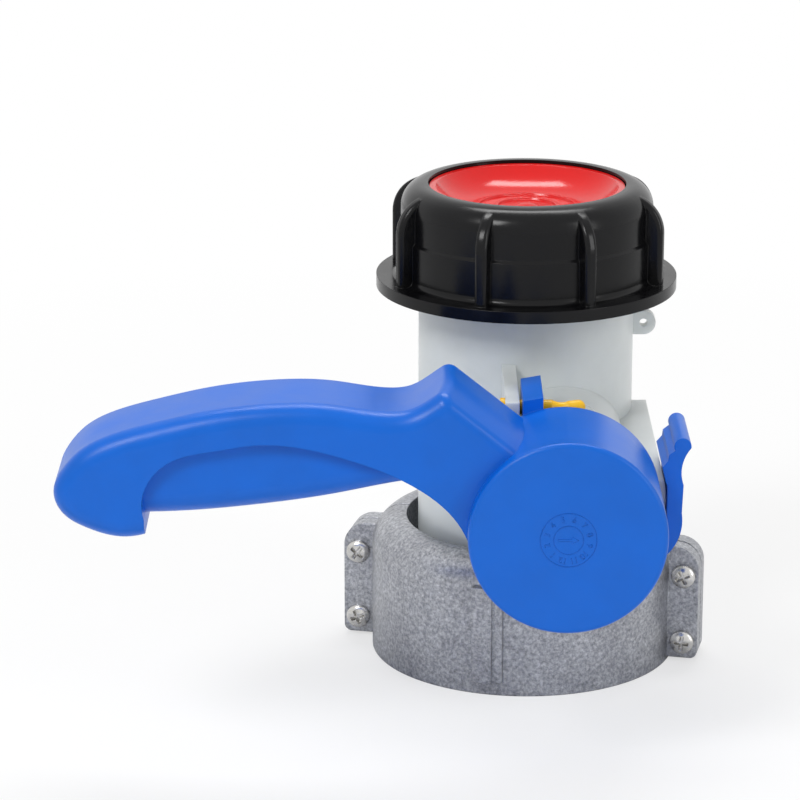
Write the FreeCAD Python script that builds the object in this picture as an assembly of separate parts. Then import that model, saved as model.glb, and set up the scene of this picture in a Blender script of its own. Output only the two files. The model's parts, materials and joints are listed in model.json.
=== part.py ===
import FreeCAD, Part
import math
import os

# Two-inch butterfly valve for the outlet of an intermediate bulk container.
# Millimetres.  Origin: centre of the clamp's lower mouth, where the tank neck enters.
# +Z runs up the pipe to the capped outlet, the closed handle lies along -X and the
# handle's hub faces -Y.

Vec = FreeCAD.Vector
ORIGIN = Vec(0, 0, 0)
ALONG_X = Vec(1, 0, 0)
ALONG_Y = Vec(0, 1, 0)
ALONG_Z = Vec(0, 0, 1)

# ---------------------------------------------------------------- driving dimensions
seat_gap = 0.3          # between curved faces of pieces that move against each other
face_gap = 0.1          # between flat faces of pieces that move against each other
running_gap = 0.06      # radial clearance of the stem in its bushes
screw_gap = 0.15        # radial clearance of a screw in its hole

# Pipe and tank flange of the moulded body
pipe_radius = 29.0
pipe_wall = 3.5
outlet_z = 122.0
thread_rise = 0.9       # the outlet thread stands proud of the pipe
thread_length = 18.0
flange_width = 7.0
flange_height = 8.0
tank_flange_height = 4.5
gasket_height = 2.5
tether_drop = 29.6      # below the outlet
tether_radius = 3.3
tether_hole_radius = 1.1
tether_thickness = 3.2

# Stem and its boss
stem_x = 7.5            # the stem stands off the pipe's axis
stem_z = 64.0
stem_radius = 6.0
square_side = 9.0       # drive square inside the handle's hub
square_length = 25.0
bush_wall = 1.6
boss_radius = 18.2
boss_gap = 0.4          # between the boss and the hub
rear_boss_radius = 12.0
rear_boss_reach = 5.0   # behind the pipe
o_ring_wall = 1.2
o_ring_width = 2.4
o_ring_groove_depth = 0.5
o_ring_depths = (15.0, 23.0)    # behind the hub's rear face

# Butterfly disc
disc_edge_gap = 2.5     # between the bore and the seal's edge
disc_seal_depth = 2.2
disc_seal_height = 2.4
disc_thickness = 4.0
disc_crown = 1.0
disc_rim_width = 6.0
disc_barrel_radius = 7.6
disc_collar_width = 1.8
disc_screw_place = 9.0  # each side of the pipe's axis
disc_screw_radius = 1.5
disc_screw_head_radius = 2.7
disc_screw_head_height = 1.0
seat_land_height = 2.0

# Handle
hub_radius = 24.8
hub_depth = 31.0
hub_offset = 38.0       # from the pipe's surface to the hub's rear face
hub_edge_radius = 1.2
hub_wall = 3.0
hub_core_radius = 9.5
hub_face_thickness = 4.0
hub_rib_count = 6
hub_rib_thickness = 1.8
hub_rib_setback = 2.0
arm_setback = 4.0       # behind the hub's face
arm_height = 32.6       # above the stem's axis
arm_front_rounding = 4.5
arm_rear_rounding = 2.5
arm_rear_corner = 1.5
crown_drop = 3.1        # fall of the crowned slopes towards the front
crown_depth = 14.0
peak_rounding = 3.0
grip_reach = 127.3
grip_inset = 2.4
grip_rounding = 6.0
tab_width = 5.1
tab_height = 7.3
tab_slant = 0.45
tab_length = 20.0
tab_rise = 1.9          # above the hub

# Catch block beside the boss, and the spring latch that grips it
catch_rise = 1.4        # beyond the hub's radius
catch_wall = 1.7
catch_top = 5.0         # above the stem's axis
catch_plate = 2.0
catch_floor = 7.6       # below the stem's axis
catch_floor_height = 2.0
catch_back = 3.5        # behind the pipe's axis
latch_gap = 0.2
latch_thickness = 4.1
latch_lead = 1.8        # in front of the hub's rear face
latch_length = 22.0
knuckle_radius = 2.4
knuckle_rise = 1.1      # beyond the hub's radius
knuckle_angle = -38.1   # angles about the stem's axis
root_depth = 5.3
root_start = -58.0
root_end = -30.5

# Tamper pin
lug_gap = 0.7
lug_width = 3.6
lug_fall = 0.4          # below the hub's radius
lug_setback = 4.1       # behind the boss's face
pin_radius = 1.9
pin_fall = 3.0          # below the hub's radius
pin_depth = 9.5         # behind the hub's rear face
pin_head_radius = 2.4
pin_head_height = 1.2
pin_waist_radius = 1.25
pin_tail = 11.2
pin_way = 0.7           # free way for the pin through the catch block

# Clamp
clamp_turn = -13.0      # the clamp's ears, turned about the pipe
clamp_wall = 5.3
clamp_collar = 17.4     # height above the flange
clamp_shoulder = 9.0
clamp_rim_width = 2.4
clamp_mouth_gap = 2.0   # around the pipe's radius
clamp_lip_height = 5.0
clamp_throat_gap = 1.0
clamp_throat_height = 4.0
clamp_top_gap = 3.2
clamp_split = 0.8
ear_width = 8.0
ear_thickness = 4.6
ear_height = 32.0
ear_foot = 0.8
ear_corner = 6.5
ear_foot_corner = 2.0
screw_edge = 4.1        # from the ear's edge
screw_foot_edge = 4.8
screw_pitch = 19.0
screw_radius = 2.0
screw_head_radius = 3.3
screw_head_height = 2.4
screw_head_rounding = 1.2
screw_tail = 1.0
nut_across_flats = 7.0
nut_height = 3.2
clamp_rib_width = 5.4
clamp_rib_depth = 2.2
clamp_rib_foot = 4.0
clamp_rib_turn = -3.5   # from the middle of the front half

# Union cap
cap_height = 28.0
cap_wall = 4.3
cap_upper_inset = 0.7
cap_upper_height = 13.0
cap_shoulder_radius = 6.0
cap_flange_width = 5.9
cap_flange_height = 3.2
cap_foot_rounding = 1.6
cap_lip_width = 3.7
cap_lip_height = 4.0
cap_rib_count = 8
cap_rib_width = 3.4
cap_rib_depth = 3.7
cap_rib_rounding = 1.2
cap_rib_turn = -110.5
cap_gasket_height = 2.2
insert_flange_height = 2.5
insert_plug_depth = 1.6
insert_floor = 2.2
insert_rim_fall = 0.9
insert_rim_width = 1.7
insert_ring_rise = 0.5
insert_ring_width = 1.0
insert_rings = (13.4, 8.2)
insert_dome_radius = 3.4
insert_dome_rise = 1.0

# ---------------------------------------------------------------- derived sizes
bore_radius = pipe_radius - pipe_wall
thread_radius = pipe_radius + thread_rise
flange_radius = pipe_radius + flange_width
gasket_z = clamp_lip_height + tank_flange_height
flange_z = gasket_z + gasket_height
tether_z = outlet_z - tether_drop
tether_reach = pipe_radius + tether_radius - 0.5

hub_rear = pipe_radius + hub_offset
hub_front = hub_rear + hub_depth
arm_front = hub_front - arm_setback
boss_front = hub_rear - boss_gap
rear_boss_depth = pipe_radius + rear_boss_reach
stem_hole_radius = stem_radius + running_gap
bush_radius = stem_hole_radius + bush_wall
stem_front = -hub_rear - square_length
stem_back = rear_boss_depth - pipe_wall - boss_gap
o_ring_places = [-hub_rear + depth for depth in o_ring_depths]

disc_seal_radius = bore_radius - disc_edge_gap
disc_radius = disc_seal_radius - disc_seal_depth
seat_land_radius = disc_seal_radius + seat_gap + face_gap
collar_reach = math.sqrt(disc_seal_radius ** 2 - (stem_x + disc_barrel_radius) ** 2)
barrel_reach = collar_reach - disc_collar_width
disc_screw_places = (-disc_screw_place, disc_screw_place)
disc_screw_top = stem_z + disc_barrel_radius - disc_screw_head_height
disc_screw_bottom = stem_z - (stem_radius + disc_barrel_radius) / 2

catch_radius = hub_radius + catch_rise
latch_x = catch_radius + latch_gap
latch_front = hub_rear + latch_lead
tab_left = catch_top + seat_gap + tab_width
tab_top = hub_radius + tab_rise
knuckle_reach = hub_radius + knuckle_rise
knuckle_x = knuckle_reach * math.cos(math.radians(knuckle_angle))
knuckle_z = knuckle_reach * math.sin(math.radians(knuckle_angle))
knuckle = Vec(stem_x + knuckle_x, 0, stem_z + knuckle_z)
lug_left = tab_left + lug_gap + lug_width
lug_front = boss_front - lug_setback
pin_y = -hub_rear + pin_depth
pin_z = hub_radius - pin_fall
pin_break_x = stem_x - tab_left - lug_gap / 2

groove_top_z = flange_z + flange_height + face_gap
groove_radius = flange_radius + seat_gap
clamp_radius = groove_radius + clamp_wall
clamp_mouth_radius = pipe_radius + clamp_mouth_gap
clamp_throat_radius = pipe_radius + clamp_throat_gap
clamp_top_radius = pipe_radius + clamp_top_gap
clamp_rim_radius = clamp_top_radius + clamp_rim_width
clamp_height = groove_top_z + clamp_collar
clamp_shoulder_z = clamp_height - clamp_shoulder
ear_reach = clamp_radius + ear_width
screw_reach = ear_reach - screw_edge
screw_low_z = ear_foot + screw_foot_edge
screw_heights = (screw_low_z, screw_low_z + screw_pitch)

cap_bore_radius = thread_radius + seat_gap
cap_drum_radius = cap_bore_radius + cap_wall
cap_flange_radius = cap_drum_radius + cap_flange_width
cap_opening_radius = cap_bore_radius - cap_lip_width
cap_rib_reach = cap_drum_radius + cap_rib_depth
cap_gasket_z = outlet_z + face_gap
insert_foot_z = cap_gasket_z + cap_gasket_height
insert_flange_top_z = insert_foot_z + insert_flange_height
cap_lip_z = insert_flange_top_z + face_gap
cap_top_z = cap_lip_z + cap_lip_height
cap_foot_z = cap_top_z - cap_height


# ---------------------------------------------------------------- helpers
def cylinder_y(radius, x, z, y_front, y_back):
    return Part.makeCylinder(radius, y_back - y_front, Vec(x, y_front, z), ALONG_Y)


def cylinder_x(radius, y, z, x_left, x_right):
    return Part.makeCylinder(radius, x_right - x_left, Vec(x_left, y, z), ALONG_X)


def cylinder_z(radius, z_low, z_high):
    return Part.makeCylinder(radius, z_high - z_low, Vec(0, 0, z_low), ALONG_Z)


def tube_z(outer, inner, z_low, z_high):
    return cylinder_z(outer, z_low, z_high).cut(cylinder_z(inner, z_low - 1, z_high + 1))


def block(low, high):
    return Part.makeBox(high[0] - low[0], high[1] - low[1], high[2] - low[2], Vec(*low))


def line(start, end):
    return Part.LineSegment(start, end).toShape()


def arc(start, middle, end):
    return Part.Arc(start, middle, end).toShape()


def smooth(points):
    curve = Part.BSplineCurve()
    curve.interpolate(points)
    return curve.toShape()


def path(points):
    return [line(a, b) for a, b in zip(points, points[1:])]


def corners_xz(profile, y=0):
    return [Vec(x, y, z) for x, z in profile]


def turned(edges):
    """Solid of revolution about the pipe's axis from the joined edges of its section."""
    return Part.Face(Part.Wire(edges)).revolve(ORIGIN, ALONG_Z, 360)


def turned_profile(profile):
    return turned(path(corners_xz(profile + profile[:1])))


def slab(edges, depth):
    """Face of the joined edges, drawn at its front, pushed back along +Y."""
    return Part.Face(Part.Wire(edges)).extrude(Vec(0, depth, 0))


def from_stem(x, z, y):
    """Point given from the stem's axis, in the plane at y."""
    return Vec(stem_x + x, y, stem_z + z)


def edges_at(shape, y):
    return [e for e in shape.Edges if all(abs(v.Y - y) < 1e-4 for v in e.Vertexes)
            and abs(e.CenterOfMass.y - y) < 1e-4]


def save(shape, node):
    shape.removeSplitter().exportStep("parts/" + node + ".step")


# ---------------------------------------------------------------- moulded body
def valve_body():
    body = cylinder_z(pipe_radius, flange_z, outlet_z)
    body = body.fuse(cylinder_z(flange_radius, flange_z, flange_z + flange_height))
    body = body.fuse(cylinder_z(thread_radius, outlet_z - thread_length, outlet_z))
    body = body.fuse(cylinder_y(boss_radius, stem_x, stem_z, -boss_front, 0))
    body = body.fuse(cylinder_y(rear_boss_radius, stem_x, stem_z, 0, rear_boss_depth))
    body = body.fuse(catch_block())
    body = body.fuse(pin_lug())
    body = body.fuse(tether_lug())
    land_low = stem_z - seat_land_height / 2
    land_high = stem_z + seat_land_height / 2
    body = body.cut(cylinder_z(bore_radius, flange_z - 1, land_low))
    body = body.cut(cylinder_z(seat_land_radius, land_low, land_high))
    body = body.cut(cylinder_z(bore_radius, land_high, outlet_z + 1))
    pocket_end = rear_boss_depth - pipe_wall
    body = body.cut(cylinder_y(bush_radius, stem_x, stem_z, -boss_front - 1, pocket_end))
    pin_hole = pin_radius + face_gap
    lug_x = stem_x - lug_left
    return body.cut(cylinder_x(pin_hole, pin_y, stem_z + pin_z, lug_x - 1, lug_x + lug_width + 1))


def catch_block():
    """Cored ledge beside the boss: its top stops the handle's tab, its rim holds the latch."""
    bottom = stem_z - catch_floor - catch_floor_height
    right = stem_x + catch_radius + 1
    drum = cylinder_y(catch_radius, stem_x, stem_z, -boss_front, catch_back)
    window = block((stem_x, -boss_front, bottom), (right, catch_back, stem_z + catch_top))
    core = cylinder_y(catch_radius - catch_wall, stem_x, stem_z, -boss_front, catch_back - catch_wall)
    hollow = block((stem_x, -boss_front, stem_z - catch_floor),
                   (right, catch_back, stem_z + catch_top - catch_plate))
    return drum.common(window).cut(core.common(hollow)).cut(pin_slot())


def pin_slot():
    """Way through the ledge for the pin's end that turns with the handle."""
    half = pin_radius + pin_way
    core = cylinder_y(catch_radius - catch_wall, stem_x, stem_z, pin_y - half, pin_y + half)
    way = block((stem_x + pin_z - pin_radius - pin_way, pin_y - half, stem_z),
                (stem_x + catch_radius, pin_y + half, stem_z + catch_top + 1))
    return core.common(way)


def pin_lug():
    left = stem_x - lug_left
    top = stem_z + hub_radius - lug_fall
    return block((left, -lug_front, stem_z), (left + lug_width, -bore_radius - 1, top))


def tether_lug():
    half = tether_thickness / 2
    plate = block((bore_radius + 1, -half, tether_z - tether_radius),
                  (tether_reach, half, tether_z + tether_radius))
    nose = cylinder_y(tether_radius, tether_reach, tether_z, -half, half)
    hole = cylinder_y(tether_hole_radius, tether_reach, tether_z, -half - 1, half + 1)
    return plate.fuse(nose).cut(hole)


def stem_bush(y_front, y_back):
    outer = cylinder_y(bush_radius, stem_x, stem_z, y_front, y_back)
    return outer.cut(cylinder_y(stem_hole_radius, stem_x, stem_z, y_front - 1, y_back + 1))


def front_bush():
    bush = stem_bush(-boss_front + boss_gap, -bore_radius - boss_gap)
    for y in o_ring_places:
        bush = bush.cut(o_ring_groove(y))
    return bush


def rear_bush():
    return stem_bush(bore_radius + boss_gap, rear_boss_depth - pipe_wall)


# ---------------------------------------------------------------- stem and disc
def o_ring_groove(y):
    half = o_ring_width / 2 + face_gap
    outer = cylinder_y(stem_hole_radius + o_ring_wall, stem_x, stem_z, y - half, y + half)
    inner_radius = stem_radius - o_ring_groove_depth
    return outer.cut(cylinder_y(inner_radius, stem_x, stem_z, y - o_ring_width, y + o_ring_width))


def stem_o_rings():
    rings = []
    half = o_ring_width / 2
    for y in o_ring_places:
        outer = cylinder_y(stem_hole_radius + o_ring_wall, stem_x, stem_z, y - half, y + half)
        rings.append(outer.cut(cylinder_y(stem_hole_radius, stem_x, stem_z, y - o_ring_width, y + o_ring_width)))
    return Part.makeCompound(rings)


def disc_screw_head(y, height):
    return Part.makeCylinder(disc_screw_head_radius, height, Vec(stem_x, y, disc_screw_top))


def disc_screws():
    screws = []
    for y in disc_screw_places:
        length = disc_screw_top - disc_screw_bottom
        shank = Part.makeCylinder(disc_screw_radius, length, Vec(stem_x, y, disc_screw_bottom))
        screws.append(shank.fuse(disc_screw_head(y, disc_screw_head_height)))
    return Part.makeCompound(screws)


def stem():
    half = square_side / 2
    shaft = cylinder_y(stem_radius, stem_x, stem_z, -hub_rear, stem_back)
    square = block((stem_x - half, stem_front, stem_z - half), (stem_x + half, -hub_rear, stem_z + half))
    shaft = shaft.fuse(square)
    for y in o_ring_places:
        shaft = shaft.cut(o_ring_groove(y))
    return shaft.cut(disc_screws())


def butterfly_disc():
    low = stem_z - disc_thickness / 2
    high = stem_z + disc_thickness / 2
    flat = disc_radius - disc_rim_width
    disc = turned_profile([(0, low - disc_crown), (flat, low), (disc_radius, low),
                           (disc_radius, high), (flat, high), (0, high + disc_crown)])
    disc = disc.fuse(cylinder_y(disc_barrel_radius, stem_x, stem_z, -barrel_reach, barrel_reach))
    disc = disc.cut(cylinder_y(disc_barrel_radius, stem_x, stem_z, barrel_reach, bore_radius))
    disc = disc.cut(cylinder_y(disc_barrel_radius, stem_x, stem_z, -bore_radius, -barrel_reach))
    disc = disc.cut(cylinder_y(stem_radius, stem_x, stem_z, -bore_radius, bore_radius))
    for y in disc_screw_places:
        disc = disc.cut(disc_screw_head(y, 2 * disc_screw_head_height))
    return disc.cut(disc_screws())


def seal_bridges():
    """Strips of the seal across the disc's edge, joining its band to its collars."""
    half = disc_seal_height / 2
    wall = disc_barrel_radius - stem_radius
    left = stem_x - disc_barrel_radius + wall / 4
    right = stem_x - stem_radius + wall / 3
    across = block((left, -bore_radius, stem_z - half), (right, bore_radius, stem_z + half))
    between = block((left, -barrel_reach, stem_z - half), (right, barrel_reach, stem_z + half))
    return across.cut(between).common(cylinder_z(disc_seal_radius, stem_z - half, stem_z + half))


def disc_seal():
    """Edge band of the disc, with a collar round the stem at each side."""
    half = disc_seal_height / 2
    seal = tube_z(disc_seal_radius, disc_radius, stem_z - half, stem_z + half)
    seal = seal.cut(cylinder_y(disc_barrel_radius, stem_x, stem_z, -barrel_reach, barrel_reach))
    for front, back in ((-collar_reach, -barrel_reach), (barrel_reach, collar_reach)):
        seal = seal.fuse(cylinder_y(disc_barrel_radius, stem_x, stem_z, front, back))
    seal = seal.fuse(seal_bridges())
    return seal.cut(cylinder_y(stem_radius, stem_x, stem_z, -bore_radius, bore_radius))


# ---------------------------------------------------------------- handle
def along_grip(x, z, y):
    """Point of the handle by its share of the grip's reach and of the arm's height."""
    return from_stem(-x * grip_reach, z * arm_height, y)


def near_hub(x, z, y):
    """Point of the handle by hub radii from the stem and by its share of the arm's height."""
    return from_stem(-x * hub_radius, z * arm_height, y)


def arm_back(y):
    """Points from the hook's edge round the nose and along the back to the peak's saddle."""
    nose = [(0.823, -0.03), (0.875, -0.05), (0.937, 0.02), (0.986, 0.15), (1.0, 0.31), (0.981, 0.49),
            (0.945, 0.64), (0.888, 0.755), (0.811, 0.844), (0.69, 0.951), (0.585, 1.0), (0.454, 0.994)]
    saddle = [(1.79, 0.939), (1.57, 0.957), (1.34, 1.06), (1.17, 1.145)]
    return [along_grip(x, z, y) for x, z in nose] + [near_hub(x, z, y) for x, z in saddle]


def arm_underside(y):
    hook = [(0.43, 0.6), (0.603, 0.71), (0.684, 0.663), (0.778, 0.558), (0.819, 0.37), (0.823, 0.12)]
    neck = [(0.935, -0.245), (1.206, 0.19), (1.544, 0.387)]
    return [near_hub(x, z, y) for x, z in neck] + [along_grip(x, z, y) for x, z in hook]


def arm():
    """Moulded arm: rounded nose with a hooked end, straight back, and the peak above the hub."""
    y = -arm_front
    back = arm_back(y)
    under = arm_underside(y)
    inside = [near_hub(0.32, 0.625, y), near_hub(0.565, -0.245, y)]
    outline = [smooth(back)] + path([back[-1]] + inside + [under[0]])
    outline += [smooth(under), line(under[-1], back[0])]
    solid = slab(outline, arm_front - hub_rear)
    front_crest = [e for e in crest_edges(solid, -arm_front) if e.CenterOfMass.x < back[-1].x]
    solid = solid.makeFillet(arm_front_rounding, front_crest)
    solid = solid.cut(crown_cut(back[-1], inside[0]))
    solid = solid.makeFillet(peak_rounding, ridge_edges(solid, back[-1]))
    return solid.makeFillet(arm_rear_rounding, crest_edges(solid, -hub_rear))


def ridge_edges(solid, peak):
    """Edges that run from the rear to the front along the peak."""
    return [e for e in solid.Edges if e.BoundBox.YLength > peak_rounding
            and abs(e.Vertexes[0].X - peak.x) < peak_rounding and e.BoundBox.ZMax > peak.z - crown_drop]


def crest_edges(solid, y):
    """Edges of the arm's back and of its slope down to the hub."""
    return [e for e in edges_at(solid, y) if e.CenterOfMass.z > stem_z + arm_height * 0.6
            and e.Length > hub_radius * 0.8 and e.BoundBox.ZMax > stem_z + arm_height * 0.9]


def crown_cut(peak, foot):
    """What the crowned slope leaves off the slab, from the peak down to the hub."""
    along = foot - peak
    along.normalize()
    out = Vec(-along.z, 0, along.x)
    radius = (crown_depth ** 2 + crown_drop ** 2) / (2 * crown_drop)
    top = peak - along * hub_radius + Vec(0, crown_depth, 0)
    front = Vec(0, -crown_depth - 1, 0)
    above = out * crown_drop
    below = out * (-2 * crown_drop)
    corners = [top + above, top + above + front, top + below + front, top + below]
    wedge = Part.Face(Part.makePolygon(corners + corners[:1])).extrude(along * (3 * hub_radius))
    crown = Part.makeCylinder(radius, 3 * hub_radius, top - out * radius, along)
    return wedge.cut(crown)


def lower_grip():
    """Inset lower half of the grip, rounded for the fingers."""
    y = -arm_front + grip_inset
    belly = [along_grip(x, z, y) for x, z in ((0.859, 0.11), (0.705, 0.13), (0.6, 0.172), (0.46, 0.252))]
    belly += [near_hub(x, z, y) for x, z in ((1.72, 0.35), (1.37, 0.387))]
    inside = [near_hub(1.37, 0.552, y)]
    inside += [along_grip(x, z, y) for x, z in ((0.448, 0.813), (0.605, 0.86), (0.764, 0.752), (0.859, 0.46))]
    outline = [smooth(belly)] + path([belly[-1]] + inside + [belly[0]])
    depth = arm_front - hub_rear - 2 * grip_inset
    solid = slab(outline, depth)
    low_edges = [e for e in edges_at(solid, y) + edges_at(solid, y + depth)
                 if e.CenterOfMass.z < stem_z + arm_height * 0.28 and e.Length > 2 * hub_radius]
    return solid.makeFillet(grip_rounding, low_edges)


def hub():
    drum = cylinder_y(hub_radius, stem_x, stem_z, -hub_front, -hub_rear)
    return drum.makeFillet(hub_edge_radius, edges_at(drum, -hub_front))


def hub_pocket():
    """Coring of the hub, open towards the body, with ribs between its core and its rim."""
    front = -hub_front + hub_face_thickness
    pocket = cylinder_y(hub_radius - hub_wall, stem_x, stem_z, front, -hub_rear)
    pocket = pocket.cut(cylinder_y(hub_core_radius, stem_x, stem_z, front, -hub_rear))
    half = hub_rib_thickness / 2
    centre = Vec(stem_x, 0, stem_z)
    for index in range(hub_rib_count):
        rib = block((stem_x, front, stem_z - half),
                    (stem_x + hub_radius, -hub_rear - hub_rib_setback, stem_z + half))
        rib.rotate(centre, ALONG_Y, 360.0 / hub_rib_count * (index + 0.5))
        pocket = pocket.cut(rib)
    return pocket


def tab():
    y = -hub_rear
    left = -tab_left
    right = left + tab_width
    corners = [from_stem(left, tab_top - tab_height, y), from_stem(right, tab_top - tab_height, y),
               from_stem(right, tab_top + tab_slant, y), from_stem(left, tab_top - tab_slant, y)]
    plate = slab(path(corners + corners[:1]), tab_length)
    x = stem_x + left
    return plate.cut(cylinder_x(pin_radius, pin_y, stem_z + pin_z, x - 1, x + tab_width + 1))


def latch_root():
    """Rearward rib of the hub with the groove that the latch's knuckle bears in."""
    back = -latch_front + latch_length
    ring = cylinder_y(hub_radius, stem_x, stem_z, -hub_rear, back)
    ring = ring.cut(cylinder_y(hub_radius - root_depth, stem_x, stem_z, -hub_rear, back))
    reach = 2 * hub_radius
    corners = [from_stem(0, 0, -hub_rear)]
    for angle in (root_start, (root_start + root_end) / 2, root_end):
        turn = math.radians(angle)
        corners.append(from_stem(reach * math.cos(turn), reach * math.sin(turn), -hub_rear))
    return ring.common(slab(path(corners + corners[:1]), back + hub_rear))


def handle():
    solid = hub().fuse(arm()).fuse(lower_grip())
    solid = solid.cut(hub_pocket())
    solid = solid.fuse(tab()).fuse(latch_root())
    groove = cylinder_y(knuckle_radius + running_gap, knuckle.x, knuckle.z,
                        -latch_front - face_gap, -latch_front + latch_length + 1)
    half = square_side / 2
    socket = block((stem_x - half, stem_front, stem_z - half), (stem_x + half, -hub_rear, stem_z + half))
    return solid.cut(groove).cut(socket)


def on_latch(x, z):
    """Point of the latch in its own thicknesses from its inner face, level with the stem."""
    return from_stem(latch_x + x * latch_thickness, z * latch_thickness, -latch_front)


def on_knuckle(x, z):
    """Point of the latch in knuckle radii from the knuckle's axis."""
    return from_stem(knuckle_x + x * knuckle_radius, knuckle_z + z * knuckle_radius, -latch_front)


def latch_lever():
    """Spring finger: knuckle at its root, catch tooth half way, stepped thumb pad on top."""
    tooth = from_stem(latch_x - 0.12 * latch_thickness, catch_top + seat_gap, -latch_front)
    throat = from_stem(latch_x, catch_top - 2 * seat_gap, -latch_front)
    inner_top = on_latch(0, -0.73)
    inner_foot = on_knuckle(0.2, 0.67)
    outer_foot = on_knuckle(0.25, -0.67)
    outer_top = on_latch(0.93, -0.73)
    waist = on_latch(1.0, 1.1)
    pad_right = on_latch(1.42, 3.5)
    pad_left = on_latch(0.44, 3.35)
    steps = [pad_left, on_latch(0.05, 3.05), on_latch(0.0, 2.65), on_latch(-0.34, 2.25), tooth]
    outline = path([tooth, throat, inner_top])
    outline.append(arc(inner_top, on_latch(-0.42, -2.6), inner_foot))
    outline.append(line(inner_foot, outer_foot))
    outline.append(arc(outer_foot, on_latch(0.3, -3.2), outer_top))
    outline.append(line(outer_top, waist))
    outline.append(arc(waist, on_latch(0.86, 2.1), pad_right))
    outline.append(arc(pad_right, on_latch(1.02, 4.13), pad_left))
    outline += path(steps)
    lever = slab(outline, latch_length)
    knob = cylinder_y(knuckle_radius, knuckle.x, knuckle.z, -latch_front, -latch_front + latch_length)
    return lever.fuse(knob)


# ---------------------------------------------------------------- tamper pin
def seal_pin_lug_half():
    lug_x = stem_x - lug_left
    z = stem_z + pin_z
    head = cylinder_x(pin_head_radius, pin_y, z, lug_x - pin_head_height, lug_x)
    return head.fuse(cylinder_x(pin_radius, pin_y, z, lug_x, pin_break_x))


def seal_pin_tab_half():
    """Pin through the tab, a waist beside it and a rounded bulb to push it by."""
    z = stem_z + pin_z
    right = stem_x - tab_left + tab_width

    def at(along, radius):
        return Vec(right + along * pin_tail, pin_y, z + radius)

    edges = path([Vec(pin_break_x, pin_y, z), Vec(pin_break_x, pin_y, z + pin_radius), at(0.23, pin_radius)])
    bulb = 1 - pin_radius / pin_tail
    slope = math.sqrt(0.5) * pin_radius
    edges.append(arc(at(0.23, pin_radius), at(0.42, pin_waist_radius), at(0.62, 0.86 * pin_radius)))
    edges.append(line(at(0.62, 0.86 * pin_radius), at(bulb, pin_radius)))
    edges.append(arc(at(bulb, pin_radius), at(bulb + slope / pin_tail, slope), at(1, 0)))
    edges.append(line(at(1, 0), Vec(pin_break_x, pin_y, z)))
    return Part.Face(Part.Wire(edges)).revolve(Vec(0, pin_y, z), ALONG_X, 360)


# ---------------------------------------------------------------- clamp
def in_clamp_frame(shape):
    shape.rotate(ORIGIN, ALONG_Z, clamp_turn)
    return shape


def clamp_ring():
    shoulder_foot = Vec(clamp_radius, 0, clamp_shoulder_z)
    rim = Vec(clamp_rim_radius, 0, clamp_height)
    bend = Vec(clamp_radius - 0.27 * (clamp_radius - clamp_rim_radius), 0,
               clamp_shoulder_z + 0.66 * clamp_shoulder)
    throat_top = groove_top_z + clamp_throat_height
    inner = [(clamp_rim_radius, clamp_height), (clamp_top_radius, clamp_height),
             (clamp_top_radius, throat_top + clamp_top_gap - clamp_throat_gap),
             (clamp_throat_radius, throat_top), (clamp_throat_radius, groove_top_z),
             (groove_radius, groove_top_z), (groove_radius, clamp_lip_height),
             (clamp_mouth_radius, clamp_lip_height), (clamp_mouth_radius, 0), (clamp_radius, 0)]
    edges = path(corners_xz(inner) + [shoulder_foot])
    edges.append(arc(shoulder_foot, bend, rim))
    return turned(edges)


def ear(side, front, back):
    """Ear plate with rounded outer corners, from the ring wall out to its reach."""
    low = groove_radius + 1
    plate = block((low, front, ear_foot), (ear_reach, back, ear_foot + ear_height))
    corners = [e for e in plate.Edges if abs(e.CenterOfMass.x - ear_reach) < 1e-6
               and abs(e.BoundBox.YLength - (back - front)) < 1e-6]
    corners.sort(key=lambda e: e.CenterOfMass.z)
    plate = plate.makeFillet(ear_corner, corners[-1:])
    foot = [e for e in plate.Edges if abs(e.CenterOfMass.x - ear_reach) < 1e-6
            and abs(e.CenterOfMass.z - ear_foot) < 1e-6]
    plate = plate.makeFillet(ear_foot_corner, foot)
    for z in screw_heights:
        plate = plate.cut(cylinder_y(screw_radius + screw_gap, screw_reach, z, front - 1, back + 1))
    if side < 0:
        plate = plate.mirror(ORIGIN, ALONG_X)
    return plate


def clamp_half(front):
    reach = 2 * clamp_radius
    half_gap = clamp_split / 2
    y_low, y_high = (-reach, -half_gap) if front else (half_gap, reach)
    half = clamp_ring().common(block((-reach, y_low, -1), (reach, y_high, clamp_height + 1)))
    near, far = (-half_gap - ear_thickness, -half_gap) if front else (half_gap, half_gap + ear_thickness)
    for side in (-1, 1):
        half = half.fuse(ear(side, near, far))
    hollow = cylinder_z(groove_radius, clamp_lip_height, groove_top_z)
    return half.cut(hollow)


def clamp_front_half():
    """Front half with the cast rib that stands on its wall, stepped on one side."""
    half = clamp_half(True)
    root = -clamp_radius + clamp_rib_depth
    top = clamp_shoulder_z + clamp_rib_depth
    rib = block((-clamp_rib_width / 2, -clamp_radius - clamp_rib_depth, clamp_rib_foot),
                (clamp_rib_width / 2, root, top))
    step = block((clamp_rib_width / 2, -clamp_radius - clamp_rib_depth / 2, clamp_rib_foot),
                 (clamp_rib_width, root, top - clamp_rib_depth))
    inside = cylinder_z(clamp_radius - clamp_rib_depth / 2, -1, clamp_height + 1)
    raised = rib.fuse(step).cut(inside)
    raised.rotate(ORIGIN, ALONG_Z, clamp_rib_turn)
    return in_clamp_frame(half.fuse(raised))


def clamp_rear_half():
    return in_clamp_frame(clamp_half(False))


def screw_places():
    return [(side * screw_reach, z) for side in (-1, 1) for z in screw_heights]


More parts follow.
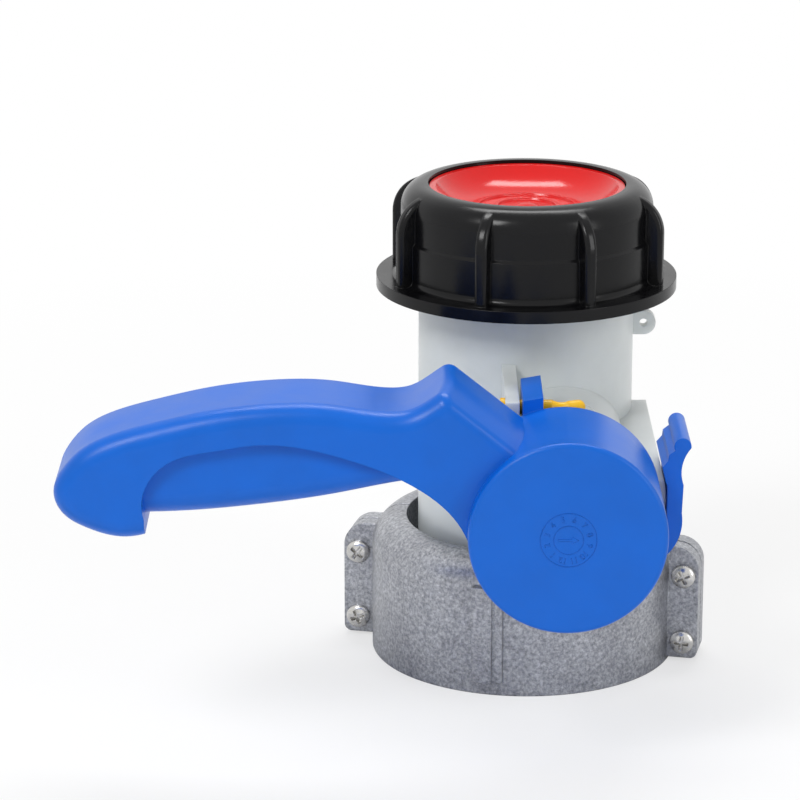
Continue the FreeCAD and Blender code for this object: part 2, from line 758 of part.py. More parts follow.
def clamp_screws():
    ear_front = -clamp_split / 2 - ear_thickness
    nut_back = clamp_split / 2 + ear_thickness + nut_height
    head_front = ear_front - screw_head_height
    screws = []
    for x, z in screw_places():
        head = cylinder_y(screw_head_radius, x, z, head_front, ear_front)
        head = head.makeFillet(screw_head_rounding, edges_at(head, head_front))
        screws.append(head.fuse(cylinder_y(screw_radius, x, z, ear_front, nut_back + screw_tail)))
    return in_clamp_frame(Part.makeCompound(screws))


def clamp_nuts():
    nut_front = clamp_split / 2 + ear_thickness
    corner_radius = nut_across_flats / math.sqrt(3)
    nuts = []
    for x, z in screw_places():
        corners = []
        for index in range(7):
            angle = math.radians(60 * index)
            corners.append(Vec(x + corner_radius * math.sin(angle), nut_front,
                               z + corner_radius * math.cos(angle)))
        nut = slab(path(corners), nut_height)
        nuts.append(nut.cut(cylinder_y(screw_radius, x, z, nut_front - 1, nut_front + nut_height + 1)))
    return in_clamp_frame(Part.makeCompound(nuts))


def tank_gasket():
    return tube_z(flange_radius, bore_radius, gasket_z, flange_z)


# ---------------------------------------------------------------- union cap
def cap_ring():
    """Union ring: stepped drum with a rounded shoulder, a foot flange and grip ribs."""
    upper = cap_drum_radius - cap_upper_inset
    shoulder = cap_shoulder_radius
    bend = shoulder * (1 - math.cos(math.radians(45)))
    step_z = cap_top_z - cap_upper_height
    flange_top = cap_foot_z + cap_flange_height
    foot = cap_foot_rounding
    foot_bend = foot * (1 - math.cos(math.radians(45)))
    profile = [(upper - shoulder, cap_top_z), (cap_opening_radius, cap_top_z), (cap_opening_radius, cap_lip_z),
               (cap_bore_radius, cap_lip_z), (cap_bore_radius, cap_foot_z), (cap_flange_radius, cap_foot_z),
               (cap_flange_radius, flange_top), (cap_drum_radius + foot, flange_top)]
    edges = path(corners_xz(profile))
    edges.append(arc(Vec(cap_drum_radius + foot, 0, flange_top),
                     Vec(cap_drum_radius + foot_bend, 0, flange_top + foot_bend),
                     Vec(cap_drum_radius, 0, flange_top + foot)))
    edges += path(corners_xz([(cap_drum_radius, flange_top + foot), (cap_drum_radius, step_z - cap_upper_inset),
                              (upper, step_z), (upper, cap_top_z - shoulder)]))
    edges.append(arc(Vec(upper, 0, cap_top_z - shoulder), Vec(upper - bend, 0, cap_top_z - bend),
                     Vec(upper - shoulder, 0, cap_top_z)))
    ring = turned(edges)
    for index in range(cap_rib_count):
        ring = ring.fuse(cap_rib(cap_rib_turn + 360.0 / cap_rib_count * index))
    return ring


def cap_rib(angle):
    """Grip rib: rounded outside, curving in from the flange to a tip on the shoulder."""
    shoulder = cap_shoulder_radius
    root = cap_drum_radius - cap_wall * 0.8
    tip = Vec(cap_drum_radius - shoulder / 2, -cap_rib_width / 2, cap_top_z - shoulder * 0.2)
    inner_top = Vec(root, tip.y, tip.z - shoulder * 0.15)
    knee = Vec(cap_rib_reach, tip.y, cap_top_z - 1.8 * shoulder)
    rise = tip.z - knee.z
    inset = cap_rib_reach - tip.x
    radius = (inset ** 2 + rise ** 2) / (2 * inset)
    half_turn = math.asin(rise / radius) / 2
    bend = Vec(cap_rib_reach - radius * (1 - math.cos(half_turn)), tip.y, knee.z + radius * math.sin(half_turn))
    outer_foot = Vec(cap_rib_reach, tip.y, cap_foot_z + 1)
    inner_foot = Vec(root, tip.y, cap_foot_z + 1)
    rib = slab([line(inner_foot, inner_top), line(inner_top, tip), arc(tip, bend, knee),
                line(knee, outer_foot), line(outer_foot, inner_foot)], cap_rib_width)
    outside = [e for e in rib.Edges if e.CenterOfMass.x > tip.x + cap_rib_rounding
               and e.BoundBox.ZLength > 1 and e.BoundBox.YLength < 1e-6]
    rib = rib.makeFillet(cap_rib_rounding, outside)
    rib.rotate(ORIGIN, ALONG_Z, angle)
    return rib


def insert_ring(radius, floor_z):
    """Section of one raised ring on the insert's floor, from its outer foot inwards."""
    half = insert_ring_width / 2
    top = floor_z + insert_ring_rise
    return [(radius + half + insert_ring_rise / 2, floor_z), (radius + half, top),
            (radius - half, top), (radius - half - insert_ring_rise / 2, floor_z)]


def cap_disc():
    """Dished closing disc: plug in the outlet, flange under the ring's lip, raised rim, rings, dome."""
    rim = cap_opening_radius - seat_gap
    rim_inside = rim - insert_rim_width
    rim_top = cap_top_z - insert_rim_fall
    flange = cap_bore_radius - seat_gap
    plug = bore_radius - seat_gap
    plug_z = outlet_z - insert_plug_depth
    floor_z = plug_z + insert_floor + insert_flange_height - insert_plug_depth / 2
    dish = insert_rings[0] + 2 * insert_ring_width
    dish_depth = rim_top - floor_z
    section = [(0, plug_z), (plug, plug_z), (plug, insert_foot_z), (flange, insert_foot_z),
               (flange, insert_flange_top_z), (rim, insert_flange_top_z), (rim, rim_top), (rim_inside, rim_top)]
    edges = path(corners_xz(section))
    edges.append(arc(Vec(rim_inside, 0, rim_top), Vec((rim_inside + dish) / 2, 0, floor_z + 0.28 * dish_depth),
                     Vec(dish, 0, floor_z)))
    rings = [(dish, floor_z)]
    for radius in insert_rings:
        rings += insert_ring(radius, floor_z)
    rings.append((insert_dome_radius, floor_z))
    edges += path(corners_xz(rings))
    dome_top = Vec(0, 0, floor_z + insert_dome_rise)
    sphere = (insert_dome_radius ** 2 + insert_dome_rise ** 2) / (2 * insert_dome_rise)
    half = insert_dome_radius / 2
    bend = Vec(half, 0, dome_top.z - sphere + math.sqrt(sphere ** 2 - half ** 2))
    edges.append(arc(Vec(insert_dome_radius, 0, floor_z), bend, dome_top))
    edges.append(line(dome_top, Vec(0, 0, plug_z)))
    return turned(edges)


def cap_gasket():
    return tube_z(cap_bore_radius - seat_gap, bore_radius, cap_gasket_z, insert_foot_z)


# ---------------------------------------------------------------- write the parts
def save_all():
    os.makedirs("parts", exist_ok=True)
    save(valve_body(), "valve_body")
    save(front_bush(), "stem_bush_front")
    save(rear_bush(), "stem_bush_rear")
    save(stem_o_rings(), "stem_o_rings")
    save(clamp_front_half(), "clamp_front_half")
    save(clamp_rear_half(), "clamp_rear_half")
    save(clamp_screws(), "clamp_screws")
    save(clamp_nuts(), "clamp_nuts")
    save(tank_gasket(), "tank_gasket")
    save(seal_pin_lug_half(), "seal_pin_lug_half")
    save(handle(), "handle")
    save(stem(), "stem")
    save(butterfly_disc(), "butterfly_disc")
    save(disc_seal(), "disc_seal")
    save(disc_screws(), "disc_screws")
    save(seal_pin_tab_half(), "seal_pin_tab_half")
    save(latch_lever(), "latch_lever")
    save(cap_ring(), "cap_ring")
    save(cap_disc(), "cap_disc")
    save(cap_gasket(), "cap_gasket")


save_all()
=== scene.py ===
import json
import math

import bmesh
import bpy
from mathutils import Matrix, Vector


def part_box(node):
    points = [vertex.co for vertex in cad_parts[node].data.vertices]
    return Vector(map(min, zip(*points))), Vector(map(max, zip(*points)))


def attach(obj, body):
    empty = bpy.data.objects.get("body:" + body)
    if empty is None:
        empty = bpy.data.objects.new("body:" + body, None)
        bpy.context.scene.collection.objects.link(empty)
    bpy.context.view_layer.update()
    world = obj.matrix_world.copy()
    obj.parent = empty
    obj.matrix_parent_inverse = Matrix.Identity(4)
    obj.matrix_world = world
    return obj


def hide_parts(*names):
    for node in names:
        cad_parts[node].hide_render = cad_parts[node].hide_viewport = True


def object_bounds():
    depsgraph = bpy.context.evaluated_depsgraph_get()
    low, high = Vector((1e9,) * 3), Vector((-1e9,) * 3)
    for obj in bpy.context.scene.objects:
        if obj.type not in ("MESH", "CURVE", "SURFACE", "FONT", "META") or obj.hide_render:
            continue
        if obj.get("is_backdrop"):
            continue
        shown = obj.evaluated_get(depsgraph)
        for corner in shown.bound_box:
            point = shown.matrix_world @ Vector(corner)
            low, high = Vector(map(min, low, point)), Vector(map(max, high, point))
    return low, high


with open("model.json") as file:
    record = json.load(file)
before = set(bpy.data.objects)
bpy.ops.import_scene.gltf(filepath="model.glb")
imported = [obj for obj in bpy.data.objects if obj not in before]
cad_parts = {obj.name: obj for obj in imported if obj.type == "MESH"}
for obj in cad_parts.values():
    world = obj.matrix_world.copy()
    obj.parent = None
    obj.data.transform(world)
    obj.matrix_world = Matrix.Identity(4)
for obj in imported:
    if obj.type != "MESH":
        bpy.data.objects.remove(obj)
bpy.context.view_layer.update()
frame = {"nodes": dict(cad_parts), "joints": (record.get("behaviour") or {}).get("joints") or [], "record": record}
nodes = frame["nodes"]

MM = 0.001

# Month dial on the hub's face.
FIGURE_RADIUS = 5.4 * MM
FIGURE_SIZE = 2.2 * MM
FIGURE_DEPTH = 0.3 * MM
MONTHS = 12
MONTH_STEP = 360.0 / MONTHS
MONTH_ZERO_ANGLE = 255.0
DIAL_SUNK = 0.05 * MM
DIAL_RING_RISE = 0.10 * MM
DIAL_RINGS = ((6.90 * MM, 7.05 * MM), (3.60 * MM, 3.75 * MM))
ARROW_RISE = 0.12 * MM
ARROW_TAIL = -2.6
ARROW_NECK = 0.9
ARROW_TIP = 2.6
ARROW_HALF_SHAFT = 0.25
ARROW_HALF_HEAD = 0.85

# Clamp screws, with the clamp's ears turned about the pipe.
CLAMP_TURN = math.radians(-13.0)
WELD = 1e-7
HEAD_HEIGHT = 2.4 * MM
HEAD_DOME = 1.5 * MM
HEAD_FULLNESS = 0.97
HEAD_SHRINK = 0.985
HEAD_RINGS = 30
HEAD_STEPS = 120
CROSS_DEPTH = 1.3 * MM
CROSS_HALF_WIDTH = 0.42 * MM
CROSS_REACH = 0.62
CROSS_SIDE_FALL = 0.14 * MM
CROSS_END_FALL = 0.20 * MM
SHANK_RADIUS = 2.0 * MM
SHANK_ROOT = 1.72 * MM
SHANK_PITCH = 0.7 * MM
SHANK_PLAIN_END = 1.0 * MM
SHANK_STEPS = 48
TIP_RADIUS = 1.4 * MM
TIP_SHOULDER = 1.7 * MM
TIP_CHAMFER = 0.2 * MM
FIRST_SCREW_ANGLE = 23.0
NEXT_SCREW_ANGLE = 31.0
SCREW_SMOOTH = math.radians(32.0)

# Ridge of the outlet's thread.
RIDGE_PITCH = 6.0 * MM
RIDGE_TURNS = 2.4
RIDGE_STEPS = 150
RIDGE_ROOT = 29.70 * MM
RIDGE_CREST = 30.12 * MM
RIDGE_HALF_ROOT = 1.5 * MM
RIDGE_HALF_CREST = 0.7 * MM
RIDGE_CHAMFER = 1.6 * MM
RIDGE_FADE = 12.0
RIDGE_SMOOTH = math.radians(50.0)

# Studio.
SOFT_LIGHT = 0.38
PAPER = 0.92
FLOOR_HALF_SIZE = 0.8
FLOOR_CELLS = 4
FLOOR_DROP = 0.1 * MM
FLOOR_WHITE_NEAR = 0.62
FLOOR_NEAR_RADIUS = 0.08
FLOOR_WHITE_RADIUS = 0.42
LAMP_TARGET = (0.0, -0.02, 0.07)
LAMPS = (
    ("lamp_key", (-0.50, -0.62, 0.80), (0.34, 0.34), 5.0),
    ("lamp_fill", (0.80, -0.60, 0.40), (0.25, 0.70), 2.6),
    ("lamp_top", (0.02, 0.34, 0.95), (0.60, 0.22), 4.2),
)
CAMERA_PITCH = math.radians(17.1)
CAMERA_REACH = 0.950
CAMERA_TARGET = Vector((-0.034, 0.0, 0.070))
CAMERA_SENSOR = 36.0
CAMERA_LENS = 3486.0 * CAMERA_SENSOR / 800.0
CAMERA_CLIP = 0.01


# ---------------------------------------------------------------- materials
def new_material(name):
    mat = bpy.data.materials.new(name)
    mat.use_nodes = True
    tree = mat.node_tree
    tree.nodes.clear()
    out = tree.nodes.new("ShaderNodeOutputMaterial")
    shader = tree.nodes.new("ShaderNodeBsdfPrincipled")
    tree.links.new(shader.outputs["BSDF"], out.inputs["Surface"])
    return mat, tree, shader


def noise(tree, scale, detail=4.0, rough=0.55):
    where = tree.nodes.new("ShaderNodeTexCoord")
    tex = tree.nodes.new("ShaderNodeTexNoise")
    tex.inputs["Scale"].default_value = scale
    tex.inputs["Detail"].default_value = detail
    tex.inputs["Roughness"].default_value = rough
    tree.links.new(where.outputs["Object"], tex.inputs["Vector"])
    return tex.outputs["Fac"]


def ramp(tree, source, stops):
    node = tree.nodes.new("ShaderNodeValToRGB")
    tree.links.new(source, node.inputs["Fac"])
    elements = node.color_ramp.elements
    while len(elements) < len(stops):
        elements.new(0.5)
    for element, (place, colour) in zip(elements, stops):
        element.position = place
        element.color = (*colour, 1.0)
    return node.outputs["Color"]


def span(tree, source, low, high, start, end):
    """Takes a value from start..end to low..high."""
    node = tree.nodes.new("ShaderNodeMapRange")
    tree.links.new(source, node.inputs["Value"])
    node.inputs["From Min"].default_value = start
    node.inputs["From Max"].default_value = end
    node.inputs["To Min"].default_value = low
    node.inputs["To Max"].default_value = high
    return node.outputs["Result"]


def bump(tree, shader, heights, edge=0.3 * MM):
    """Softened edges, then stacked bump layers as (height socket, strength, distance)."""
    bevel = tree.nodes.new("ShaderNodeBevel")
    bevel.samples = 4
    bevel.inputs["Radius"].default_value = edge
    last = bevel.outputs["Normal"]
    for height, strength, distance in heights:
        node = tree.nodes.new("ShaderNodeBump")
        node.inputs["Strength"].default_value = strength
        node.inputs["Distance"].default_value = distance
        tree.links.new(height, node.inputs["Height"])
        tree.links.new(last, node.inputs["Normal"])
        last = node.outputs["Normal"]
    tree.links.new(last, shader.inputs["Normal"])


def lighter(colour, factor):
    return tuple(min(1.0, c * factor) for c in colour)


def moulded_plastic(name, colour, rough, specular, grain, milky=0.0, milky_depth=0.0):
    """Injection-moulded plastic: faint flow marks, fine grain and uneven gloss."""
    mat, tree, shader = new_material(name)
    flow = noise(tree, 60.0, 5.0)
    fine = noise(tree, 2600.0, 3.0)
    stops = [(0.30, lighter(colour, 0.93)), (0.55, colour), (0.80, lighter(colour, 1.06))]
    tree.links.new(ramp(tree, flow, stops), shader.inputs["Base Color"])
    gloss = span(tree, flow, rough - 0.05, rough + 0.06, 0.3, 0.7)
    tree.links.new(gloss, shader.inputs["Roughness"])
    shader.inputs["Specular IOR Level"].default_value = specular
    if milky:
        shader.inputs["Subsurface Weight"].default_value = milky
        shader.inputs["Subsurface Radius"].default_value = (1.0, 0.95, 0.85)
        shader.inputs["Subsurface Scale"].default_value = milky_depth
    bump(tree, shader, [(fine, grain, 0.04 * MM), (flow, 0.15, 0.4 * MM)])
    return mat


def cast_metal(name):
    """Die-cast aluminium: speckled grey skin, fine pitting and darker stains."""
    mat, tree, shader = new_material(name)
    speckle = noise(tree, 1100.0, 5.0, 0.7)
    pits = noise(tree, 1900.0, 4.0, 0.6)
    stain = noise(tree, 55.0, 4.0)
    greys = [(0.30, (0.20, 0.21, 0.23)), (0.50, (0.40, 0.41, 0.44)), (0.70, (0.66, 0.67, 0.70))]
    shades = [(0.32, (0.72, 0.72, 0.74)), (0.62, (1.0, 1.0, 1.0))]
    mix = tree.nodes.new("ShaderNodeMix")
    mix.data_type = "RGBA"
    mix.blend_type = "MULTIPLY"
    mix.inputs["Factor"].default_value = 1.0
    colours = [socket for socket in mix.inputs if socket.type == "RGBA"]
    stained = next(socket for socket in mix.outputs if socket.type == "RGBA")
    tree.links.new(ramp(tree, speckle, greys), colours[0])
    tree.links.new(ramp(tree, stain, shades), colours[1])
    tree.links.new(stained, shader.inputs["Base Color"])
    tree.links.new(span(tree, stain, 0.30, 0.46, 0.3, 0.7), shader.inputs["Roughness"])
    shader.inputs["Metallic"].default_value = 0.8
    bump(tree, shader, [(pits, 0.5, 0.12 * MM), (speckle, 0.3, 0.2 * MM)], edge=0.6 * MM)
    return mat


def bright_steel(name):
    """Plain stainless steel with a slightly uneven shine."""
    mat, tree, shader = new_material(name)
    cloud = noise(tree, 400.0, 4.0)
    tone = ramp(tree, cloud, [(0.3, (0.50, 0.49, 0.47)), (0.7, (0.72, 0.71, 0.69))])
    tree.links.new(tone, shader.inputs["Base Color"])
    tree.links.new(span(tree, cloud, 0.18, 0.32, 0.3, 0.7), shader.inputs["Roughness"])
    shader.inputs["Metallic"].default_value = 1.0
    bump(tree, shader, [(cloud, 0.1, 0.05 * MM)])
    return mat


def srgb(r, g, b):
    """Linear colour of a display colour given in 0..255."""
    def one(c):
        c = c / 255.0
        return c / 12.92 if c <= 0.04045 else ((c + 0.055) / 1.055) ** 2.4
    return one(r), one(g), one(b)


# name: colour, roughness, specular, grain, milkiness and its depth
PLASTICS = {
    "hdpe_natural": (srgb(214, 219, 219), 0.32, 0.40, 0.25, 0.5, 5.0 * MM),
    "handle_blue": (srgb(0, 98, 204), 0.34, 0.30, 0.30),
    "cap_black": (srgb(10, 10, 12), 0.20, 0.22, 0.20),
    "insert_red": (srgb(214, 8, 6), 0.16, 0.40, 0.08),
    "pin_yellow": (srgb(240, 186, 12), 0.34, 0.40, 0.20),
    "seal_rubber": (srgb(24, 24, 24), 0.62, 0.30, 0.40),
}
finishes = {name: moulded_plastic(name, *look) for name, look in PLASTICS.items()}
finishes["cast_aluminium"] = cast_metal("cast_aluminium")
finishes["screw_steel"] = bright_steel("screw_steel")

for part in frame["record"]["subparts"]:
    obj = nodes[part["node"]]
    obj.data.materials.clear()
    obj.data.materials.append(finishes[part["material_slot"]])


# ---------------------------------------------------------------- pieces
def mesh_object(name, bm, finish):
    mesh = bpy.data.meshes.new(name)
    bm.to_mesh(mesh)
    bm.free()
    mesh.materials.append(finishes[finish])
    obj = bpy.data.objects.new(name, mesh)
    bpy.context.scene.collection.objects.link(obj)
    return obj


def joint_place(name):
    return Vector(next(j for j in frame["joints"] if j["name"] == name)["pos_m"])


def on_circle(radius, index, steps):
    angle = 2 * math.pi * index / steps
    return radius * math.cos(angle), radius * math.sin(angle)


def skin(bm, rows):
    """Faces between closed rows of vertices, one after the other; a row of one vertex is a tip."""
    for low, high in zip(rows, rows[1:]):
        count = max(len(low), len(high))
        for k in range(count):
            after = (k + 1) % count
            corners = [low[k % len(low)], high[k % len(high)],
                       high[after % len(high)], low[after % len(low)]]
            bm.faces.new(list(dict.fromkeys(corners)))


def smooth_shade(obj, limit):
    """Smooth faces with sharp edges where the surface bends by more than the limit."""
    bm = bmesh.new()
    bm.from_mesh(obj.data)
    for face in bm.faces:
        face.smooth = True
    for edge in bm.edges:
        edge.smooth = len(edge.link_faces) == 2 and edge.calc_face_angle(0.0) < limit
    bm.to_mesh(obj.data)
    bm.free()


def figure(text, place, turn):
    """Raised figure on a face that looks along -Y, turned about its own middle."""
    curve = bpy.data.curves.new("figure", "FONT")
    curve.body = text
    curve.size = FIGURE_SIZE
    curve.extrude = FIGURE_DEPTH / 2
    curve.align_x = "CENTER"
    curve.align_y = "CENTER"
    curve.resolution_u = 3
    carrier = bpy.data.objects.new("figure", curve)
    bpy.context.scene.collection.objects.link(carrier)
    bpy.context.view_layer.update()
    mesh = bpy.data.meshes.new_from_object(carrier)
    bpy.data.objects.remove(carrier)
    upright = Matrix.Rotation(math.pi / 2, 4, "X")
    mesh.transform(Matrix.Translation(place) @ Matrix.Rotation(turn, 4, "Y") @ upright)
    return mesh


def dial_ring(bm, centre, inner, outer, front, back, steps=72):
    """Flat ring round an axis along Y."""
    rows = []
    for radius, y in ((inner, back), (inner, front), (outer, front), (outer, back)):
        row = []
        for k in range(steps):
            x, z = on_circle(radius, k, steps)
            row.append(bm.verts.new((centre.x + x, y, centre.z + z)))
        rows.append(row)
    skin(bm, rows + rows[:1])


def dial_arrow(bm, centre, front, back):
    outline = [(ARROW_TAIL, -ARROW_HALF_SHAFT), (ARROW_NECK, -ARROW_HALF_SHAFT),
               (ARROW_NECK, -ARROW_HALF_HEAD), (ARROW_TIP, 0.0), (ARROW_NECK, ARROW_HALF_HEAD),
               (ARROW_NECK, ARROW_HALF_SHAFT), (ARROW_TAIL, ARROW_HALF_SHAFT)]
    rows = [[bm.verts.new((centre.x + x * MM, y, centre.z + z * MM)) for x, z in outline]
            for y in (front, back)]
    skin(bm, rows)
    bm.faces.new(rows[0])
    bm.faces.new(rows[1][::-1])


def date_dial():
    """Moulded month dial on the hub's face: figures 1 to 12, two fine rings and an arrow."""
    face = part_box("handle")[0].y
    back = face + DIAL_SUNK
    centre = joint_place("handle_turn")
    bm = bmesh.new()
    for month in range(1, MONTHS + 1):
        angle = math.radians(MONTH_ZERO_ANGLE - MONTH_STEP * month)
        place = Vector((centre.x + FIGURE_RADIUS * math.cos(angle), back,
                        centre.z + FIGURE_RADIUS * math.sin(angle)))
        mesh = figure(str(month), place, math.pi / 2 - angle)
        bm.from_mesh(mesh)
        bpy.data.meshes.remove(mesh)
    for inner, outer in DIAL_RINGS:
        dial_ring(bm, centre, inner, outer, face - DIAL_RING_RISE, back)
    dial_arrow(bm, centre, face - ARROW_RISE, back)
    bmesh.ops.recalc_face_normals(bm, faces=bm.faces)
    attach(mesh_object("date_dial", bm, "handle_blue"), "handle")


def islands(node):
    """Vertex places of each separate solid in a CAD node."""
    bm = bmesh.new()
    bm.from_mesh(nodes[node].data)
    bmesh.ops.remove_doubles(bm, verts=bm.verts, dist=WELD)
    seen = set()
    groups = []
    for start in bm.verts:
        if start in seen:
            continue
        seen.add(start)
        stack = [start]
        group = []
        while stack:
            vert = stack.pop()
            group.append(vert.co.copy())
            for edge in vert.link_edges:
                other = edge.other_vert(vert)
                if other not in seen:
                    seen.add(other)
                    stack.append(other)
        groups.append(group)
    bm.free()
    return groups


def cross_share(x, y, reach):
    """How far into the cross recess a place on the head lies: 0 outside it, 1 on its floor."""
    near = min(abs(x), abs(y))
    far = max(abs(x), abs(y))
    side = (CROSS_HALF_WIDTH - near) / CROSS_SIDE_FALL + 0.5
    end = (reach - far) / CROSS_END_FALL
    return max(0.0, min(1.0, side)) * max(0.0, min(1.0, end))


def screw_head(bm, radius):
    """Domed head with a cross recess pressed into it, as one polar grid from the middle out."""
    rows = []
    for ring in range(HEAD_RINGS + 1):
        out = ring / HEAD_RINGS
        dome = HEAD_DOME * (1.0 - math.sqrt(max(0.0, 1.0 - out ** 2 * HEAD_FULLNESS)))
        row = []
        for k in range(HEAD_STEPS if ring else 1):
            x, y = on_circle(radius * out, k, HEAD_STEPS)
            recess = CROSS_DEPTH * cross_share(x, y, CROSS_REACH * radius)
            row.append(bm.verts.new((x, y, -dome - recess)))
        rows.append(row)
    rows.append([bm.verts.new((v.co.x, v.co.y, -HEAD_HEIGHT)) for v in rows[-1]])
    skin(bm, rows)
    bm.faces.new(rows[-1])


def screw_shank(bm, length):
    """Shank with thread grooves, turned about local Z from under the head to the tip."""
    profile = [(0.0, -HEAD_HEIGHT), (SHANK_RADIUS, -HEAD_HEIGHT)]
    z = -HEAD_HEIGHT
    while z > SHANK_PLAIN_END - length:
        profile += [(SHANK_RADIUS, z - 0.10 * MM), (SHANK_ROOT, z - 0.35 * MM),
                    (SHANK_RADIUS, z - 0.60 * MM)]
        z -= SHANK_PITCH
    profile += [(TIP_SHOULDER, TIP_CHAMFER - length), (TIP_RADIUS, -length), (0.0, -length)]
    rows = []
    for radius, z in profile:
        count = SHANK_STEPS if radius else 1
        rows.append([bm.verts.new((*on_circle(radius, k, SHANK_STEPS), z)) for k in range(count)])
    skin(bm, rows)


def clamp_screws():
    """A pan-head screw with a cross recess for each solid of the CAD node."""
    axis = Matrix.Rotation(CLAMP_TURN, 3, "Z") @ Vector((0.0, 1.0, 0.0))
    outward = (-axis).to_track_quat("Z", "Y").to_matrix().to_4x4()
    for number, points in enumerate(islands("clamp_screws")):
        along = [p.dot(axis) for p in points]
        across = [p - axis * p.dot(axis) for p in points]
        front = min(along)
        middle = sum(across, Vector()) / len(points)
        radius = max((p - middle).length for p in across) * HEAD_SHRINK
        bm = bmesh.new()
        screw_head(bm, radius)
        screw_shank(bm, max(along) - front)
        bmesh.ops.recalc_face_normals(bm, faces=bm.faces)
        obj = mesh_object("clamp_screw_%d" % number, bm, "screw_steel")
        smooth_shade(obj, SCREW_SMOOTH)
        spin = math.radians(FIRST_SCREW_ANGLE + NEXT_SCREW_ANGLE * number)
        place = Matrix.Translation(middle + axis * front)
        obj.data.transform(place @ outward @ Matrix.Rotation(spin, 4, "Z"))
        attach(obj, "valve")
    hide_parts("clamp_screws")


def outlet_thread():
    """Raised helix on the outlet under the cap, fading out at both ends."""
    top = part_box("valve_body")[1].z - RIDGE_CHAMFER - RIDGE_HALF_ROOT
    height = RIDGE_CREST - RIDGE_ROOT
    section = [(0.0, -RIDGE_HALF_ROOT), (height, -RIDGE_HALF_CREST),
               (height, RIDGE_HALF_CREST), (0.0, RIDGE_HALF_ROOT)]
    bm = bmesh.new()
    rows = []
    for index in range(RIDGE_STEPS + 1):
        share = index / RIDGE_STEPS
        fade = min(1.0, RIDGE_FADE * share, RIDGE_FADE * (1.0 - share))
        z = top - RIDGE_PITCH * RIDGE_TURNS * share
        row = []
        for rise, offset in section:
            x, y = on_circle(RIDGE_ROOT + rise * fade, RIDGE_TURNS * share, 1)
            row.append(bm.verts.new((x, y, z + offset)))
        rows.append(row)
    skin(bm, rows)
    bm.faces.new(rows[0])
    bm.faces.new(rows[-1][::-1])
    bmesh.ops.recalc_face_normals(bm, faces=bm.faces)
    obj = mesh_object("outlet_thread", bm, "hdpe_natural")
    smooth_shade(obj, RIDGE_SMOOTH)
    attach(obj, "valve")


date_dial()
clamp_screws()
outlet_thread()


# ---------------------------------------------------------------- studio
def math_node(tree, operation, *sources):
    """Math node fed by sockets; gives its output."""
    node = tree.nodes.new("ShaderNodeMath")
    node.operation = operation
    for socket, source in zip(node.inputs, sources):
        tree.links.new(source, socket)
    return node.outputs[0]


def mixed(tree, share, first, second, out):
    mix = tree.nodes.new("ShaderNodeMixShader")
    tree.links.new(share, mix.inputs["Fac"])
    tree.links.new(first.outputs[0], mix.inputs[1])
    tree.links.new(second.outputs[0], mix.inputs[2])
    tree.links.new(mix.outputs[0], out.inputs["Surface"])


def studio_world():
    """White to the camera and in reflections, a softer light on surfaces."""
    world = bpy.data.worlds.new("studio")
    bpy.context.scene.world = world
    world.use_nodes = True
    tree = world.node_tree
    tree.nodes.clear()
    out = tree.nodes.new("ShaderNodeOutputWorld")
    soft = tree.nodes.new("ShaderNodeBackground")
    soft.inputs["Color"].default_value = (1.0, 1.0, 1.0, 1.0)
    soft.inputs["Strength"].default_value = SOFT_LIGHT
    white = tree.nodes.new("ShaderNodeBackground")
    white.inputs["Color"].default_value = (1.0, 1.0, 1.0, 1.0)
    white.inputs["Strength"].default_value = 1.0
    rays = tree.nodes.new("ShaderNodeLightPath").outputs
    seen = math_node(tree, "MAXIMUM", rays["Is Camera Ray"], rays["Is Glossy Ray"])
    seen = math_node(tree, "MAXIMUM", seen, rays["Is Transmission Ray"])
    mixed(tree, seen, soft, white, out)


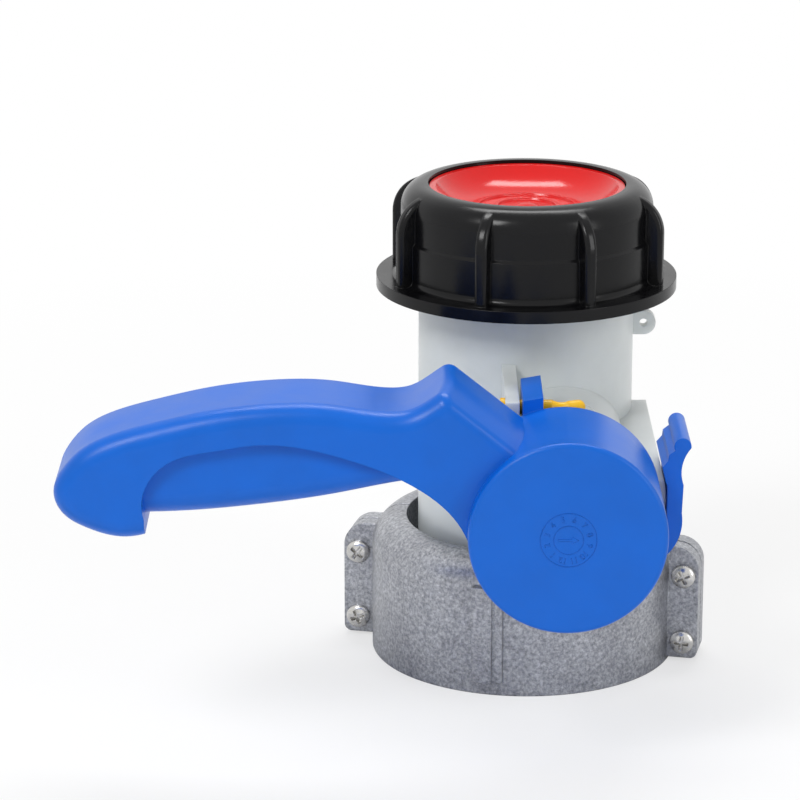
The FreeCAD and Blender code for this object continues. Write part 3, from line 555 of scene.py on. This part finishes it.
def studio_floor():
    """White paper that keeps the part's shadow and fades to plain white further out."""
    mat = bpy.data.materials.new("studio_floor")
    mat.use_nodes = True
    tree = mat.node_tree
    tree.nodes.clear()
    out = tree.nodes.new("ShaderNodeOutputMaterial")
    paper = tree.nodes.new("ShaderNodeBsdfDiffuse")
    paper.inputs["Color"].default_value = (PAPER, PAPER, PAPER, 1.0)
    white = tree.nodes.new("ShaderNodeEmission")
    white.inputs["Color"].default_value = (1.0, 1.0, 1.0, 1.0)
    white.inputs["Strength"].default_value = 1.0
    rays = tree.nodes.new("ShaderNodeLightPath").outputs
    where = tree.nodes.new("ShaderNodeTexCoord")
    away = tree.nodes.new("ShaderNodeVectorMath")
    away.operation = "LENGTH"
    tree.links.new(where.outputs["Object"], away.inputs[0])
    fade = span(tree, away.outputs["Value"], FLOOR_WHITE_NEAR, 1.0,
                FLOOR_NEAR_RADIUS, FLOOR_WHITE_RADIUS)
    mixed(tree, math_node(tree, "MULTIPLY", rays["Is Camera Ray"], fade), paper, white, out)
    mesh = bpy.data.meshes.new("studio_floor")
    bm = bmesh.new()
    bmesh.ops.create_grid(bm, x_segments=FLOOR_CELLS, y_segments=FLOOR_CELLS, size=FLOOR_HALF_SIZE)
    bm.to_mesh(mesh)
    bm.free()
    floor = bpy.data.objects.new("studio_floor", mesh)
    bpy.context.scene.collection.objects.link(floor)
    floor.location.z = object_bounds()[0][2] - FLOOR_DROP
    mesh.materials.append(mat)
    floor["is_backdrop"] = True


def soft_box(name, place, size, power):
    lamp = bpy.data.lights.new(name, "AREA")
    lamp.shape = "RECTANGLE"
    lamp.size, lamp.size_y = size
    lamp.energy = power
    obj = bpy.data.objects.new(name, lamp)
    bpy.context.scene.collection.objects.link(obj)
    obj.location = place
    aim = Vector(LAMP_TARGET) - Vector(place)
    obj.rotation_euler = aim.to_track_quat("-Z", "Y").to_euler()


def camera():
    lens = bpy.data.cameras.new("camera")
    lens.sensor_width = CAMERA_SENSOR
    lens.lens = CAMERA_LENS
    lens.clip_start = CAMERA_CLIP
    obj = bpy.data.objects.new("camera", lens)
    bpy.context.scene.collection.objects.link(obj)
    back = Vector((0.0, -math.cos(CAMERA_PITCH), math.sin(CAMERA_PITCH)))
    obj.location = CAMERA_TARGET + CAMERA_REACH * back
    obj.rotation_euler = (math.pi / 2 - CAMERA_PITCH, 0.0, 0.0)
    bpy.context.scene.camera = obj


studio_world()
studio_floor()
for name, place, size, power in LAMPS:
    soft_box(name, place, size, power)
camera()
bpy.context.scene.view_settings.view_transform = "Standard"
